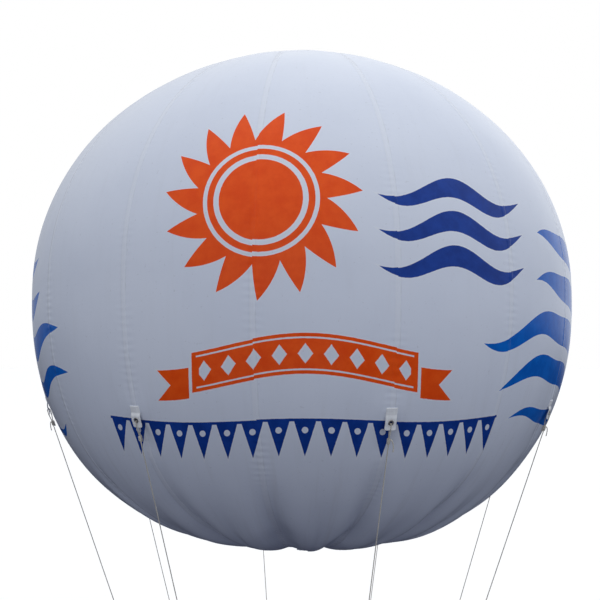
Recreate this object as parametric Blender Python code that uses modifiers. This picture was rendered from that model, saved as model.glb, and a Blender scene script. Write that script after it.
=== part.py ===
"""Advertising sky balloon, 3.05 m across, floating above its gathered harness.

Sixteen welded gores with a round patch at each pole, a tied filling neck, eight tether tabs
with metal eyelets, and eight harness lines that meet in a steel plate with a swivelling eye.
Metres, +Z up, the printed front faces -Y, and the origin is the envelope's centre, where the
air lifts it.
"""

import math

import bmesh
import bpy
from mathutils import Matrix, Vector

# Envelope
EQUATOR_RADIUS = 1.525
CROWN_RISE = 0.905 * EQUATOR_RADIUS  # the top is a little flat
BASE_DROP = 0.925 * EQUATOR_RADIUS
BASE_FULLNESS = 2.33  # exponent of the lower outline: 2 is an ellipse, more is squarer
WALL = 0.010  # stands in for a thin film
GORES = 16
FIRST_SEAM = math.radians(15)  # from -Y, turning towards +X
POLE_OPENING = 0.100  # radius where the gores stop, under the round patches
GORE_GAP = 0.0006  # between two gores, at the equator
GORE_STEPS = 3  # facets across one gore
OUTLINE_STEPS = 11  # facets from the equator to each pole opening
SEAT_GAP = 0.0003  # what rests on its neighbour keeps this gap

# Round patches at the poles
PATCH_RADIUS = 0.150
PATCH_THICKNESS = 0.004
PATCH_RINGS = 3  # facets from the middle out to the pole opening

# Filling neck, a sleeve tied shut below the base patch
NECK_RADIUS = 0.034
NECK_FLANGE_RADIUS = 0.065
NECK_FILM = 0.003
NECK_SEGMENTS = 24
PINCH_RADIUS = 0.012
PINCH_DEPTH = 0.031  # from the base patch down to the middle of the tie
PINCH_HEIGHT = 0.014
TAIL_LENGTH = 0.029  # from the pinch down to the open mouth
MOUTH_RADIUS = 0.029
TIE_CORD = 0.004
TIE_TURNS = 3

# Tether tabs: straps welded over every second seam
TABS = 8
TAB_HEIGHT = -0.42 * EQUATOR_RADIUS  # of the eyelet
TAB_WIDTH = 0.050
TAB_THICKNESS = 0.003
WELD_LENGTH = 0.026
WELD_TO_EYELET = 0.036
EYELET_TO_END = 0.034
TAB_STANDOFF = 0.0115  # how far the free end is held off the envelope by its line
TAB_BEND = 0.0215  # length of the bend between the weld and the flat round the eyelet

# Eyelets
EYELET_BORE = 0.006
EYELET_FLANGE = 0.0125
EYELET_BARREL = 0.0012
EYELET_SHEET = 0.001
EYELET_SEGMENTS = 20

# Harness
ROPE_RADIUS = 0.0025
HOOK_BEND = 0.004  # centreline radius where the rope turns round the eyelet's rim
HOOK_LENGTH = 0.075  # from the eyelet to where the two strands lie together
PLATE_HEIGHT = -3.0 * EQUATOR_RADIUS
PLATE_RADIUS = 0.055
PLATE_THICKNESS = 0.006
PLATE_HOLE_CIRCLE = 0.040
PLATE_HOLE_RADIUS = 0.0033
PLATE_BORE = 0.0054
PLATE_SEGMENTS = 36
PLATE_HOLE_SEGMENTS = 16
STOPPER_RADIUS = 0.0065
STOPPER_LENGTH = 0.013

# Swivel
SHANK_RADIUS = 0.005
HEAD_RADIUS = 0.010
HEAD_HEIGHT = 0.007
COLLAR_RADIUS = 0.0115
COLLAR_HEIGHT = 0.016
THREAD_DEPTH = 0.011
EYE_OUTER = 0.023
EYE_INNER = 0.012
EYE_THICKNESS = 0.009
RUNNING_GAP = 0.0005
SWIVEL_SEGMENTS = 20
EYE_SEGMENTS = 32

# Colour, roughness and metallic value of each kind of piece
FINISHES = {
    "gore_film": ((0.80, 0.83, 0.88, 1.0), 0.30, 0.0),
    "patch_film": ((0.84, 0.86, 0.90, 1.0), 0.38, 0.0),
    "neck_film": ((0.78, 0.81, 0.86, 1.0), 0.35, 0.0),
    "tie_cord": ((0.70, 0.68, 0.62, 1.0), 0.85, 0.0),
    "tab_strap": ((0.82, 0.84, 0.88, 1.0), 0.42, 0.0),
    "eyelet_metal": ((0.62, 0.60, 0.55, 1.0), 0.30, 1.0),
    "harness_rope": ((0.62, 0.60, 0.57, 1.0), 0.80, 0.0),
    "plate_steel": ((0.55, 0.56, 0.58, 1.0), 0.40, 1.0),
    "bolt_steel": ((0.50, 0.51, 0.53, 1.0), 0.32, 1.0),
    "eye_steel": ((0.58, 0.59, 0.60, 1.0), 0.35, 1.0),
}


def clear_scene():
    for obj in list(bpy.data.objects):
        bpy.data.objects.remove(obj, do_unlink=True)


def new_collection(name):
    collection = bpy.data.collections.new(name)
    bpy.context.scene.collection.children.link(collection)
    return collection


def make_finish(name):
    colour, roughness, metallic = FINISHES[name]
    material = bpy.data.materials.new(name)
    material.use_nodes = True
    shader = material.node_tree.nodes["Principled BSDF"]
    shader.inputs["Base Color"].default_value = colour
    shader.inputs["Roughness"].default_value = roughness
    shader.inputs["Metallic"].default_value = metallic
    material.diffuse_color = colour
    return material


def finish(name):
    """The material of that name, made the first time it is asked for."""
    return bpy.data.materials.get(name) or make_finish(name)


def add_object(name, data, collection, material=None):
    obj = bpy.data.objects.new(name, data)
    collection.objects.link(obj)
    if material is not None:
        data.materials.append(material)
    return obj


def smooth_round(mesh, degrees=35):
    mesh.shade_smooth()
    mesh.set_sharp_from_angle(angle=math.radians(degrees))


def turned(name, profile, segments, collection, material, closed=False):
    """A solid turned about Z from (radius, height) points, which run down its outer side."""
    mesh = bpy.data.meshes.new(name)
    points = [(radius, 0.0, height) for radius, height in profile]
    edges = [(i, i + 1) for i in range(len(points) - 1)]
    if closed:
        edges.append((len(points) - 1, 0))
    mesh.from_pydata(points, edges, [])
    obj = add_object(name, mesh, collection, material)
    screw = obj.modifiers.new("Turn", "SCREW")
    screw.axis = "Z"
    screw.steps = segments
    screw.render_steps = segments
    screw.use_merge_vertices = True
    screw.merge_threshold = 0.00001
    screw.use_smooth_shade = False
    return obj


def flat_outline(name, outlines, half_thickness, collection, material):
    """A flat piece in its own XY plane. Further outlines inside the first one are holes."""
    curve = bpy.data.curves.new(name, "CURVE")
    curve.dimensions = "2D"
    curve.fill_mode = "BOTH"
    curve.extrude = half_thickness
    for outline in outlines:
        spline = curve.splines.new("POLY")
        spline.points.add(len(outline) - 1)
        for point, (x, y) in zip(spline.points, outline):
            point.co = (x, y, 0.0, 1.0)
        spline.use_cyclic_u = True
    return add_object(name, curve, collection, material)


def rope(name, points, radius, collection, material, swell=None):
    """A round tube through the points; swell gives a thickness factor for each point."""
    curve = bpy.data.curves.new(name, "CURVE")
    curve.dimensions = "3D"
    curve.bevel_depth = radius
    curve.bevel_resolution = 2
    curve.use_fill_caps = True
    curve.twist_mode = "Z_UP"
    spline = curve.splines.new("POLY")
    spline.points.add(len(points) - 1)
    for index, (point, place) in enumerate(zip(spline.points, points)):
        point.co = (*place, 1.0)
        point.radius = 1.0 if swell is None else swell[index]
    return add_object(name, curve, collection, material)


def as_mesh(obj):
    """The same object as a mesh, with a curve's loose caps welded on."""
    bpy.context.view_layer.update()
    graph = bpy.context.evaluated_depsgraph_get()
    mesh = bpy.data.meshes.new_from_object(obj.evaluated_get(graph))
    work = bmesh.new()
    work.from_mesh(mesh)
    bmesh.ops.remove_doubles(work, verts=work.verts, dist=0.00001)
    work.to_mesh(mesh)
    work.free()
    name, matrix, parent = obj.name, obj.matrix_world.copy(), obj.parent
    collection = obj.users_collection[0]
    bpy.data.objects.remove(obj, do_unlink=True)
    made = bpy.data.objects.new(name, mesh)
    collection.objects.link(made)
    made.parent = parent
    made.matrix_world = matrix
    return made


def cylinder(name, radius, depth, segments, collection, material=None):
    mesh = bpy.data.meshes.new(name)
    work = bmesh.new()
    bmesh.ops.create_cone(
        work, cap_ends=True, segments=segments, radius1=radius, radius2=radius, depth=depth
    )
    work.to_mesh(mesh)
    work.free()
    return add_object(name, mesh, collection, material)


def cut(obj, cutter):
    boolean = obj.modifiers.new("Cut " + cutter.name, "BOOLEAN")
    boolean.operation = "DIFFERENCE"
    boolean.solver = "EXACT"
    boolean.object = cutter
    cutter.hide_render = True
    cutter.display_type = "WIRE"


def join(obj, other):
    boolean = obj.modifiers.new("Join " + other.name, "BOOLEAN")
    boolean.operation = "UNION"
    boolean.solver = "EXACT"
    boolean.object = other
    other.hide_render = True
    other.display_type = "WIRE"


def lower_height(radius):
    """Height of the lower skin at a radius, on the exact outline."""
    share = (radius / EQUATOR_RADIUS) ** BASE_FULLNESS
    return -BASE_DROP * (1.0 - share) ** (1.0 / BASE_FULLNESS)


def upper_height(radius):
    return CROWN_RISE * math.sqrt(1.0 - (radius / EQUATOR_RADIUS) ** 2)


def skin_outline():
    """(radius, height) of the outer skin, from the crown opening down to the base opening."""
    top_angle = math.acos(POLE_OPENING / EQUATOR_RADIUS)
    power = 2.0 / BASE_FULLNESS
    bottom_angle = math.acos((POLE_OPENING / EQUATOR_RADIUS) ** (1.0 / power))
    points = []
    for step in range(OUTLINE_STEPS, 0, -1):
        angle = top_angle * step / OUTLINE_STEPS
        points.append((EQUATOR_RADIUS * math.cos(angle), CROWN_RISE * math.sin(angle)))
    for step in range(OUTLINE_STEPS + 1):
        angle = bottom_angle * step / OUTLINE_STEPS
        radius = EQUATOR_RADIUS * math.cos(angle) ** power
        points.append((radius, -BASE_DROP * math.sin(angle) ** power))
    return points


def offset_outline(points, distance):
    """The outline moved outwards by a distance, with mitred corners."""
    normals = []
    for (r0, z0), (r1, z1) in zip(points, points[1:]):
        length = math.hypot(r1 - r0, z1 - z0)
        normals.append(((z0 - z1) / length, (r1 - r0) / length))
    moved = []
    for index, (radius, height) in enumerate(points):
        before = normals[max(index - 1, 0)]
        after = normals[min(index, len(normals) - 1)]
        mean = (before[0] + after[0], before[1] + after[1])
        reach = 2.0 * distance / (mean[0] ** 2 + mean[1] ** 2)
        moved.append((radius + reach * mean[0], height + reach * mean[1]))
    return moved


def skin_radius(height):
    """Radius of the faceted skin along a seam, at a height."""
    points = skin_outline()
    for (r0, z0), (r1, z1) in zip(points, points[1:]):
        if z1 <= height <= z0:
            return r0 + (r1 - r0) * (height - z0) / (z1 - z0)
    raise ValueError("the height is beyond the gores")


def build_gore_mesh():
    """One gore: the wall's section, spun about Z over a sixteenth of a turn."""
    outer = skin_outline()
    inner = offset_outline(outer, -WALL)
    mesh = bpy.data.meshes.new("gore")
    work = bmesh.new()
    outer_verts = [work.verts.new((r, 0.0, z)) for r, z in outer]
    inner_verts = [work.verts.new((r, 0.0, z)) for r, z in inner]
    for i in range(len(outer) - 1):
        work.faces.new(
            (outer_verts[i], outer_verts[i + 1], inner_verts[i + 1], inner_verts[i])
        )
    gap_angle = GORE_GAP / EQUATOR_RADIUS
    start = Matrix.Rotation(gap_angle / 2, 4, "Z")
    bmesh.ops.transform(work, matrix=start, verts=work.verts)
    bmesh.ops.spin(
        work,
        geom=list(work.verts) + list(work.edges) + list(work.faces),
        cent=(0.0, 0.0, 0.0),
        axis=(0.0, 0.0, 1.0),
        angle=2 * math.pi / GORES - gap_angle,
        steps=GORE_STEPS,
    )
    bmesh.ops.recalc_face_normals(work, faces=work.faces)
    work.to_mesh(mesh)
    work.free()
    smooth_round(mesh)
    return mesh


def radial_turn(azimuth):
    """Turn about Z that carries +X to an azimuth measured from -Y towards +X."""
    return azimuth - math.pi / 2


def station_turn(number):
    """Turn about Z of the numbered tab, with its eyelet and its line."""
    return radial_turn(FIRST_SEAM + (number - 1) * 2 * math.pi / TABS)


def build_gores(collection):
    mesh = build_gore_mesh()
    mesh.materials.append(finish("gore_film"))
    for index in range(GORES):
        gore = add_object(f"gore_{index + 1:02d}", mesh, collection)
        gore.rotation_euler.z = radial_turn(FIRST_SEAM + index * 2 * math.pi / GORES)


def pole_rings(height_at, start):
    """(radius, height) points on a pole, from a radius out to the patch's edge."""
    step = (POLE_OPENING - start) / PATCH_RINGS
    radii = [start + i * step for i in range(PATCH_RINGS + 1)] + [PATCH_RADIUS]
    return [(radius, faceted_height(height_at, radius)) for radius in radii]


def faceted_height(height_at, radius):
    """Height of the skin or, beyond the pole opening, of the gore's first facet."""
    if radius <= POLE_OPENING:
        return height_at(radius)
    outline = skin_outline()
    first, second = (outline[0], outline[1]) if height_at(0.0) > 0 else (outline[-1], outline[-2])
    share = (radius - first[0]) / (second[0] - first[0])
    return first[1] + share * (second[1] - first[1])


def build_crown_patch(collection):
    """A round patch welded over the gore tips."""
    under = pole_rings(upper_height, 0.0)
    low = [(r, z + SEAT_GAP) for r, z in under]
    high = [(r, z + SEAT_GAP + PATCH_THICKNESS) for r, z in under]
    outline = high + low[::-1]
    facets = GORES * GORE_STEPS
    patch = turned("crown_patch", outline, facets, collection, finish("patch_film"))
    patch.rotation_euler.z = radial_turn(FIRST_SEAM)


def base_patch_bottom(radius):
    return faceted_height(lower_height, radius) - SEAT_GAP - PATCH_THICKNESS


def build_base_patch(collection):
    """The same patch at the bottom, with a hole that lets gas into the neck."""
    over = pole_rings(lower_height, NECK_RADIUS)
    high = [(r, z - SEAT_GAP) for r, z in over]
    low = [(r, base_patch_bottom(r)) for r, _ in over]
    outline = high + low[::-1]
    facets = GORES * GORE_STEPS
    patch = turned("base_patch", outline, facets, collection, finish("patch_film"), closed=True)
    patch.rotation_euler.z = radial_turn(FIRST_SEAM)


def neck_profile():
    """Flange, funnel, gathered pinch and open tail, from the plug's top round to its bottom."""
    seat = base_patch_bottom(0.0) - SEAT_GAP
    pinch_top = seat - PINCH_DEPTH + PINCH_HEIGHT / 2
    pinch_bottom = pinch_top - PINCH_HEIGHT
    mouth = pinch_bottom - TAIL_LENGTH
    flange_seat = base_patch_bottom(NECK_FLANGE_RADIUS) - SEAT_GAP
    film = NECK_FILM

    def above(share):  # 0 at the base patch, 1 at the pinch
        return seat + share * (pinch_top - seat)

    def below(share):  # 0 at the pinch, 1 at the mouth
        return pinch_bottom + share * (mouth - pinch_bottom)

    inside = [(0.0, above(0.92)), (0.4 * PINCH_RADIUS, above(0.86))]
    inside += [(0.55 * NECK_RADIUS, above(0.62)), (NECK_RADIUS - 2 * film, above(0.3))]
    flange = [(NECK_RADIUS - film, seat), (NECK_FLANGE_RADIUS, flange_seat)]
    flange += [(NECK_FLANGE_RADIUS, flange_seat - film), (NECK_RADIUS + film, seat - 2 * film)]
    outside = [(NECK_RADIUS - film, above(0.36)), (0.55 * NECK_RADIUS + film, above(0.7))]
    outside += [(PINCH_RADIUS, pinch_top), (PINCH_RADIUS, pinch_bottom)]
    outside += [(0.62 * MOUTH_RADIUS, below(0.25)), (0.9 * MOUTH_RADIUS, below(0.6))]
    outside += [(MOUTH_RADIUS, mouth)]
    tail = [(MOUTH_RADIUS - film, mouth), (0.9 * MOUTH_RADIUS - film, below(0.6))]
    tail += [(0.62 * MOUTH_RADIUS - film, below(0.32)), (0.3 * MOUTH_RADIUS, below(0.18))]
    tail += [(0.0, below(0.14))]
    return inside + flange + outside + tail


def build_neck(collection):
    turned("filling_neck", neck_profile(), NECK_SEGMENTS, collection, finish("neck_film"))


def build_neck_tie(collection):
    """Three turns of cord round the pinch, as one scalloped ring."""
    seat = base_patch_bottom(0.0) - SEAT_GAP
    inner = PINCH_RADIUS + SEAT_GAP
    outer = inner + TIE_CORD
    top = seat - PINCH_DEPTH + TIE_TURNS * TIE_CORD / 2
    profile = [(inner, top)]
    for turn in range(TIE_TURNS):
        crest = top - turn * TIE_CORD
        profile.append((outer - 0.3 * TIE_CORD, crest - 0.05 * TIE_CORD))
        profile.append((outer, crest - 0.5 * TIE_CORD))
        profile.append((outer - 0.3 * TIE_CORD, crest - 0.95 * TIE_CORD))
    profile.append((inner, top - TIE_TURNS * TIE_CORD))
    turned("neck_tie", profile, NECK_SEGMENTS, collection, finish("tie_cord"), closed=True)


class Station:
    """Where one tab leaves the envelope and which way its line pulls, in its radial plane."""

    def __init__(self):
        weld_end = TAB_HEIGHT + WELD_TO_EYELET
        weld_top = weld_end + WELD_LENGTH
        top = Vector((skin_radius(weld_top), weld_top))
        end = Vector((skin_radius(weld_end), weld_end))
        along = (end - top).normalized()
        out = Vector((-along.y, along.x))
        lift = SEAT_GAP + TAB_THICKNESS / 2
        self.weld_top = top + out * lift
        self.weld_end = end + out * lift
        hole = Vector((PLATE_HOLE_CIRCLE, PLATE_HEIGHT))
        self.down = (hole - self.weld_end).normalized()
        self.out = Vector((-self.down.y, self.down.x))
        self.eyelet = self.free_point(WELD_TO_EYELET)

    def free_point(self, distance):
        """A point on the strap's middle line, so far below its weld."""
        share = min(distance / TAB_BEND, 1.0)
        swell = share * share * (3 - 2 * share)
        return self.weld_end + self.down * distance + self.out * (TAB_STANDOFF * swell)

    def near_eyelet(self, out, down):
        return self.eyelet + self.out * out + self.down * down


def strip_outline(middle, thickness):
    """A closed outline of even thickness along a middle line."""
    sides = ([], [])
    for index, point in enumerate(middle):
        before = middle[max(index - 1, 0)]
        after = middle[min(index + 1, len(middle) - 1)]
        along = (after - before).normalized()
        across = Vector((-along.y, along.x)) * (thickness / 2)
        sides[0].append(tuple(point + across))
        sides[1].append(tuple(point - across))
    return sides[0] + sides[1][::-1]


def build_tab(name, station, collection, cutters):
    """A strap welded flat at its top, its free end held off the envelope, with a punched hole."""
    bends = 6
    free = [station.free_point(TAB_BEND * i / bends) for i in range(bends + 1)]
    middle = [station.weld_top] + free + [station.near_eyelet(0.0, EYELET_TO_END)]
    outline = strip_outline(middle, TAB_THICKNESS)
    strap = flat_outline(name, [outline], TAB_WIDTH / 2, collection, finish("tab_strap"))
    strap.rotation_euler.x = math.pi / 2
    strap = as_mesh(strap)
    hole_radius = EYELET_BORE + EYELET_BARREL + SEAT_GAP
    punch = cylinder(name + "_punch", hole_radius, 0.02, EYELET_SEGMENTS, cutters)
    place_across(punch, station)
    cut(strap, punch)
    return strap, punch


def place_across(obj, station):
    """Puts an object on the eyelet's centre with its Z axis through the strap."""
    x, z = station.eyelet
    direction = Vector((station.out.x, 0.0, station.out.y))
    obj.rotation_mode = "QUATERNION"
    obj.rotation_quaternion = direction.to_track_quat("Z", "Y")
    obj.location = (x, 0.0, z)


def build_eyelet(name, station, collection):
    """A rolled metal ring: two flanges joined by a barrel."""
    strap_face = TAB_THICKNESS / 2 + SEAT_GAP
    face = strap_face + EYELET_SHEET
    barrel = EYELET_BORE + EYELET_BARREL
    profile = [(EYELET_BORE, face), (EYELET_FLANGE, face), (EYELET_FLANGE, strap_face)]
    profile += [(barrel, strap_face), (barrel, -strap_face), (EYELET_FLANGE, -strap_face)]
    profile += [(EYELET_FLANGE, -face), (EYELET_BORE, -face)]
    metal = finish("eyelet_metal")
    ring = turned(name, profile, EYELET_SEGMENTS, collection, metal, closed=True)
    place_across(ring, station)
    return ring


def line_path(station):
    """The rope's middle line: round the eyelet's lower rim, then straight down to the plate."""
    rim = TAB_THICKNESS / 2 + 2 * SEAT_GAP + EYELET_SHEET
    pass_down = EYELET_BORE - ROPE_RADIUS - SEAT_GAP
    turn_down = pass_down + HOOK_BEND
    strand_out = rim + HOOK_BEND
    lie_together = ROPE_RADIUS + SEAT_GAP
    bend = [math.radians(angle) for angle in range(0, 91, 15)]
    front = [
        station.near_eyelet(rim + HOOK_BEND * math.sin(a), turn_down - HOOK_BEND * math.cos(a))
        for a in bend
    ]
    back = [
        station.near_eyelet(-rim - HOOK_BEND * math.sin(a), turn_down - HOOK_BEND * math.cos(a))
        for a in reversed(bend)
    ]
    strap_end = EYELET_TO_END + ROPE_RADIUS
    tail = [station.near_eyelet(-lie_together, HOOK_LENGTH)]
    tail.append(station.near_eyelet(-strand_out, strap_end))
    standing = [station.near_eyelet(strand_out, strap_end)]
    standing.append(station.near_eyelet(lie_together, HOOK_LENGTH))
    return tail + back + front + standing


def build_line(name, station, collection):
    """One harness line: its hook, its straight run, and the stopper knot under the plate."""
    path = line_path(station)
    plate_top = PLATE_HEIGHT + PLATE_THICKNESS / 2
    plate_bottom = PLATE_HEIGHT - PLATE_THICKNESS / 2
    knot_top = plate_bottom - SEAT_GAP
    run = [(PLATE_HOLE_CIRCLE, plate_top + 2 * ROPE_RADIUS)]
    run += [(PLATE_HOLE_CIRCLE, knot_top), (PLATE_HOLE_CIRCLE, knot_top - 0.0004)]
    knot = [(PLATE_HOLE_CIRCLE, knot_top - STOPPER_LENGTH * share) for share in (0.3, 0.7, 1.0)]
    path = [tuple(point) for point in path] + run + knot
    fat = STOPPER_RADIUS / ROPE_RADIUS
    swell = [1.0] * (len(path) - 4) + [0.75 * fat, fat, 0.9 * fat, 0.5 * fat]
    places = [(x, 0.0, z) for x, z in path]
    return rope(name, places, ROPE_RADIUS, collection, finish("harness_rope"), swell)


def build_stations(collection, cutters):
    """The eight tabs with their eyelets and lines, each in its own turned frame."""
    station = Station()
    for number in range(1, TABS + 1):
        frame = bpy.data.objects.new(f"station_{number}", None)
        collection.objects.link(frame)
        frame.rotation_euler.z = station_turn(number)
        tab, punch = build_tab(f"tether_tab_{number}", station, collection, cutters)
        eyelet = build_eyelet(f"eyelet_{number}", station, collection)
        line = build_line(f"harness_line_{number}", station, collection)
        for obj in (tab, punch, eyelet, line):
            obj.parent = frame


def build_plate(collection, cutters):
    """Round gathering plate with a hole for each line and a bore for the swivel bolt."""
    steel = finish("plate_steel")
    plate = cylinder(
        "harness_plate", PLATE_RADIUS, PLATE_THICKNESS, PLATE_SEGMENTS, collection, steel
    )
    plate.location.z = PLATE_HEIGHT
    holes = [((0.0, 0.0), PLATE_BORE)]
    for number in range(1, TABS + 1):
        turn = station_turn(number)
        place = (PLATE_HOLE_CIRCLE * math.cos(turn), PLATE_HOLE_CIRCLE * math.sin(turn))
        holes.append((place, PLATE_HOLE_RADIUS))
    for number, (place, radius) in enumerate(holes):
        depth = 3 * PLATE_THICKNESS
        drill = cylinder(f"plate_drill_{number}", radius, depth, PLATE_HOLE_SEGMENTS, cutters)
        drill.location = (*place, PLATE_HEIGHT)
        cut(plate, drill)


def build_swivel_bolt(collection):
    """Bolt through the plate, from its head down to the end of its thread."""
    seat = PLATE_THICKNESS / 2 + RUNNING_GAP
    top = seat + HEAD_HEIGHT
    end = -seat - THREAD_DEPTH
    chamfer = 0.001
    profile = [(0.0, top), (HEAD_RADIUS - chamfer, top), (HEAD_RADIUS, top - chamfer)]
    profile += [(HEAD_RADIUS, seat), (SHANK_RADIUS, seat), (SHANK_RADIUS, end), (0.0, end)]
    return turned("swivel_bolt", profile, SWIVEL_SEGMENTS, collection, finish("bolt_steel"))


def build_tether_eye(collection, cutters):
    """Ring with a collar on top, screwed on the bolt's end."""
    collar_top = -PLATE_THICKNESS / 2 - RUNNING_GAP
    rings = []
    for radius in (EYE_OUTER, EYE_INNER):
        turns = [2 * math.pi * step / EYE_SEGMENTS for step in range(EYE_SEGMENTS)]
        rings.append([(radius * math.cos(turn), radius * math.sin(turn)) for turn in turns])
    eye = flat_outline("tether_eye", rings, EYE_THICKNESS / 2, collection, finish("eye_steel"))
    eye.rotation_euler.x = math.pi / 2
    eye.location.z = collar_top - COLLAR_HEIGHT - EYE_INNER
    eye = as_mesh(eye)
    collar = cylinder("eye_collar", COLLAR_RADIUS, COLLAR_HEIGHT, SWIVEL_SEGMENTS, cutters)
    collar.location.z = collar_top - COLLAR_HEIGHT / 2
    join(eye, collar)
    bore = SHANK_RADIUS + SEAT_GAP
    thread = cylinder("eye_thread", bore, 2 * THREAD_DEPTH, SWIVEL_SEGMENTS, cutters)
    thread.location.z = collar_top - SEAT_GAP
    cut(eye, thread)
    return eye, collar, thread


def build_swivel(collection, cutters):
    """The bolt and the eye, which turn together on the plate's axis."""
    axis = bpy.data.objects.new("swivel_axis", None)
    collection.objects.link(axis)
    axis.location.z = PLATE_HEIGHT
    for obj in (build_swivel_bolt(collection), *build_tether_eye(collection, cutters)):
        obj.parent = axis


def main():
    clear_scene()
    balloon = new_collection("Advertising sky balloon")
    cutters = new_collection("Cutters")
    build_gores(balloon)
    build_crown_patch(balloon)
    build_base_patch(balloon)
    build_neck(balloon)
    build_neck_tie(balloon)
    build_stations(balloon, cutters)
    build_plate(balloon, cutters)
    build_swivel(balloon, cutters)


main()
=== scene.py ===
"""Looks of the advertising sky balloon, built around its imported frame.

The film is sixteen gores on one skin that a rule shapes: an outline of revolution, pleated at
its seams and dented at its tabs. Each gore laps over the next one. The pole patches and the
straps lie on that same skin. Eyelets, ropes, plate and swivel follow the places that the frame
gives. Metres, +Z up, the printed front faces -Y. Azimuth is counted from there towards +X.
"""

from math import acos, atan2, cos, e, hypot, pi, radians, sin, sqrt, tau

import bmesh
import bpy
from mathutils import Matrix, Vector
from mathutils.bvhtree import BVHTree
from mathutils.geometry import interpolate_bezier


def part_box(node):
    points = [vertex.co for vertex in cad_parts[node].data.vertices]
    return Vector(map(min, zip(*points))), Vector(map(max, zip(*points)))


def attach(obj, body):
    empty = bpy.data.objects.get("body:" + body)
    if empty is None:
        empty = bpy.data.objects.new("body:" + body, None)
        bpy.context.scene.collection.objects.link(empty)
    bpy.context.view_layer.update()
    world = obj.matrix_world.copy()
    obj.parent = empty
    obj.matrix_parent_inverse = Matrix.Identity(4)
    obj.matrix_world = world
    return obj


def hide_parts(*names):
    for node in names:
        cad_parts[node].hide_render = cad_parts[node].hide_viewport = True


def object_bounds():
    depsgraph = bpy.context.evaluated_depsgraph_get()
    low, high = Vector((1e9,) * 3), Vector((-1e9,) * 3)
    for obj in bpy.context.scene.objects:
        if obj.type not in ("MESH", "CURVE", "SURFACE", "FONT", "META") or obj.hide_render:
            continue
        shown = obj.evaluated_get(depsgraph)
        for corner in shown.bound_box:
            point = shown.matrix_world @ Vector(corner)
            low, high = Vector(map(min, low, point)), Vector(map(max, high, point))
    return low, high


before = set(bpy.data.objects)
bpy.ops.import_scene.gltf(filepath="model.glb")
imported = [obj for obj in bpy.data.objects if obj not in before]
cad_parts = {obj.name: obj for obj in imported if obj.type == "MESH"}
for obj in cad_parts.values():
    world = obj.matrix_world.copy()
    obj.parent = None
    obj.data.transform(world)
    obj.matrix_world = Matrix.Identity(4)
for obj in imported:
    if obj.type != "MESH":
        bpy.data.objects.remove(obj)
CAD_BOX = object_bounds()

# Outline of the skin, as the gores have it
RADIUS = CAD_BOX[1][0]
CROWN_RISE = 0.905 * RADIUS
BASE_DROP = 0.925 * RADIUS
CROWN_FULLNESS = 2.0
BASE_FULLNESS = 2.33

# Gores and their lap welds
GORES = 16
GORE_ANGLE = tau / GORES
FIRST_SEAM = radians(15)
PANEL_COLUMNS = 37
LAP_COLUMNS = 5
GORE_ROWS = 264
LAP_HALF = 0.0115
LAP_LIFT = 0.0007

# Round patches at the poles
POLE_OPENING = 0.1
PATCH_RADIUS = 0.15
PATCH_WELD = 0.93 * PATCH_RADIUS
PATCH_LIFT = 0.0022

# Tabs: straps welded on the skin, with an eyelet near the free end
TABS = 8
TAB_ANGLE = tau / TABS
STATIONS = range(1, TABS + 1)
STRAP_WIDTH = 0.05
STRAP_THICKNESS = 0.0026
STRAP_CORNER = 0.008
STRAP_HOLE = 0.0084
STRAP_BEND = 0.0215
WELD_LENGTH = 0.026
WELD_TO_EYELET = 0.036
EYELET_TO_END = 0.034
EYELET_RUN = WELD_LENGTH + WELD_TO_EYELET
STRAP_LENGTH = EYELET_RUN + EYELET_TO_END
EYELET_FLANGE = 0.0125

# Places that the frame gives, in the upright plane of one tab: reach from the axis, and height
EYELET_MIDDLE = [(low + high) / 2 for low, high in zip(*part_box("eyelet_1"))]
EYELET = Vector((hypot(EYELET_MIDDLE[0], EYELET_MIDDLE[1]), EYELET_MIDDLE[2]))
WELD_MIDDLE = EYELET.y + WELD_TO_EYELET + WELD_LENGTH / 2
PLATE_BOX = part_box("harness_plate")
PLATE_TOP = PLATE_BOX[1][2]
PLATE_BOTTOM = PLATE_BOX[0][2]
PLATE_RADIUS = PLATE_BOX[1][0]
HOLE_CIRCLE = 0.04
HOLE_RADIUS = 0.0033
LINE_FOOT = Vector((HOLE_CIRCLE, (PLATE_TOP + PLATE_BOTTOM) / 2))
LINE_DOWN = (LINE_FOOT - EYELET).normalized()
LINE_OUT = Vector((-LINE_DOWN.y, LINE_DOWN.x))
ROPE_RADIUS = 0.0025

# Swivel
SWIVEL_GAP = 0.0005
SHANK_RADIUS = 0.005
SHANK_REACH = 0.011
EYE_RADIUS = 0.0175
SHARP_ANGLE = radians(35)  # the least turn of an edge that stays sharp on plate and bolt

# Filling neck, tied below the base patch
NECK_SEAT = -BASE_DROP - 0.003
PINCH_DROP = 0.031
MOUTH_DROP = 0.067875
NECK_WALL = 0.0011
TIE_RADIUS = 0.0134

# The photograph's camera, found from the outline
CAMERA_DISTANCE = 3.016 * RADIUS
CAMERA_HEIGHT = -0.26 * RADIUS
CAMERA_PITCH = radians(4.67)
CAMERA_YAW = radians(0.11)
CAMERA_FOCUS = 771 / 600  # focal length as a share of the picture's width
SENSOR = 36.0

FLOOR_HEIGHT = CAD_BOX[0][2] - 0.02
FLOOR_REACH = 600.0

# Inks of the print, thin and at full cover
ORANGE = (0.86, 0.076, 0.006), (0.93, 0.104, 0.01)
NAVY = (0.005, 0.038, 0.25), (0.009, 0.054, 0.33)
AZURE = (0.002, 0.11, 0.5), (0.004, 0.145, 0.6)


# Numbers in node trees


def operator(operation, swapped=False):
    """A method of Amount that adds one math node."""
    return lambda self, *others: self.math(operation, *others, swapped=swapped)


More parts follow.
